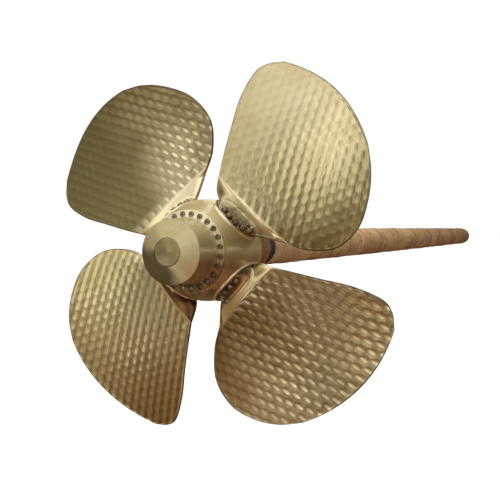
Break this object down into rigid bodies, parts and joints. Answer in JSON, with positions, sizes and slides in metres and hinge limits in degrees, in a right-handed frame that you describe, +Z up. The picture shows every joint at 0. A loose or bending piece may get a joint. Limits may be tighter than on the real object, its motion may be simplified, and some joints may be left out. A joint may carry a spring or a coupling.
{
  "type": "ship propeller",
  "caption": "Controllable-pitch ship propeller in cast bronze, with bolted swivelling blades and a hub with a turned cap, on a long cloth-wrapped tail shaft.",
  "frame": {"origin": "centre of the shaft's flat forward end face, where the shaft is held", "axes": "+X forward along the shaft and out of its end face, +Y to port, +Z up; the hub's centre is at X -6.545 m"},
  "size_m": [7.0013, 2.0294, 2.0294],
  "materials": {
    "cast_bronze": "milled and polished bronze",
    "copper_ring": "turned copper alloy",
    "forged_steel": "turned steel",
    "black_rubber": "matte",
    "hessian_wrap": "coarse woven jute tape"
  },
  "bodies": {
    "hub_and_shaft": {"hub_body": "cast_bronze", "hub_cap": "cast_bronze", "cap_plug": "cast_bronze", "hub_front_ring": "copper_ring", "shaft": "forged_steel", "shaft_liner": "forged_steel", "liner_end_band": "black_rubber", "shaft_wrap": "hessian_wrap", "port_ring_1": "cast_bronze", "port_ring_2": "cast_bronze", "port_ring_3": "cast_bronze", "port_ring_4": "cast_bronze"},
    "blade_body_1": {"blade_1": "cast_bronze"},
    "blade_body_2": {"blade_2": "cast_bronze"},
    "blade_body_3": {"blade_3": "cast_bronze"},
    "blade_body_4": {"blade_4": "cast_bronze"}
  },
  "joints": [
    {"name": "pitch_1", "type": "hinge", "parent": "hub_and_shaft", "child": "blade_body_1", "pos_m": [-6.545, 0, 0], "axis": [0, -0.7071, 0.7071], "range_deg": [-22, 28]},
    {"name": "pitch_2", "type": "hinge", "parent": "hub_and_shaft", "child": "blade_body_2", "pos_m": [-6.545, 0, 0], "axis": [0, 0.7071, 0.7071], "range_deg": [-22, 28]},
    {"name": "pitch_3", "type": "hinge", "parent": "hub_and_shaft", "child": "blade_body_3", "pos_m": [-6.545, 0, 0], "axis": [0, 0.7071, -0.7071], "range_deg": [-22, 28]},
    {"name": "pitch_4", "type": "hinge", "parent": "hub_and_shaft", "child": "blade_body_4", "pos_m": [-6.545, 0, 0], "axis": [0, -0.7071, -0.7071], "range_deg": [-22, 28]}
  ],
  "couplings": [
    {"joint": "pitch_2", "follows": "pitch_1", "ratio": 1},
    {"joint": "pitch_3", "follows": "pitch_1", "ratio": 1},
    {"joint": "pitch_4", "follows": "pitch_1", "ratio": 1}
  ]
}
